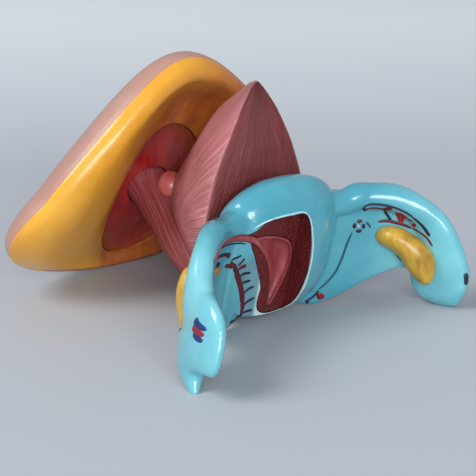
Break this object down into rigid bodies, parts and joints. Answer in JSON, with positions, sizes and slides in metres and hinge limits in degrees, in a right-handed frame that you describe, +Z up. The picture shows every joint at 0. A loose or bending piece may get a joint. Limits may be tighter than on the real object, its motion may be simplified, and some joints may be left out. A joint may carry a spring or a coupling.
{
  "type": "female reproductive organ model",
  "caption": "Life-size teaching model of the female reproductive organs that pulls apart into vulva, vagina, bladder, and opened uterus with tubes and ovaries.",
  "frame": {"origin": "middle of the model's footprint, on the table it lies on", "axes": "+X to the body's right side, +Y from the uterus to the vulva, +Z up, the front of the body"},
  "size_m": [0.1308, 0.1506, 0.0921],
  "materials": {
    "skin_pink": "satin moulded plastic painted skin pink",
    "fat_mustard": "glossy moulded plastic painted mustard yellow",
    "deep_red": "glossy moulded plastic painted deep red",
    "skin_rose": "satin moulded plastic painted rose",
    "dusky_red": "satin moulded plastic painted dusky red with lengthwise fibres",
    "lining_rose": "satin moulded plastic painted rose",
    "bladder_pink": "satin moulded plastic painted dusty pink with fine fibres",
    "neck_pink": "satin moulded plastic painted pink",
    "peg_metal": "plain metal pin",
    "turquoise": "glossy moulded plastic painted pale turquoise",
    "muscle_maroon": "porous moulded plastic painted dark maroon",
    "cavity_rose": "satin moulded plastic painted dusky rose",
    "ovary_mustard": "glossy moulded plastic painted mustard yellow"
  },
  "bodies": {
    "vagina": {"vagina_wall": "dusky_red", "vagina_lining": "lining_rose", "bladder_peg_1": "peg_metal", "bladder_peg_2": "peg_metal"},
    "vulva": {"vulva_skin_shell": "skin_pink", "vulva_fat_body": "fat_mustard", "pelvic_floor": "deep_red", "vestibule": "skin_rose"},
    "bladder": {"bladder": "bladder_pink", "bladder_neck": "neck_pink"},
    "uterus": {"uterus_cover": "turquoise", "uterus_muscle": "muscle_maroon", "uterus_cavity_lining": "cavity_rose", "cervix": "cavity_rose", "fallopian_tube_lining_left": "cavity_rose", "fallopian_tube_left": "turquoise", "broad_ligament_left": "turquoise", "ovary_left": "ovary_mustard", "fallopian_tube_right": "turquoise", "broad_ligament_right": "turquoise", "ovary_right": "ovary_mustard"}
  },
  "joints": [
    {"name": "vulva_pull", "type": "slide", "parent": "vagina", "child": "vulva", "axis": [0, 0.8949, 0.4462], "range_m": [0, 0.03]},
    {"name": "bladder_lift", "type": "slide", "parent": "vagina", "child": "bladder", "axis": [0, -0.3907, 0.9205], "range_m": [0, 0.012]},
    {"name": "uterus_pull", "type": "slide", "parent": "vagina", "child": "uterus", "axis": [0, -1, 0], "range_m": [0, 0.03]}
  ]
}
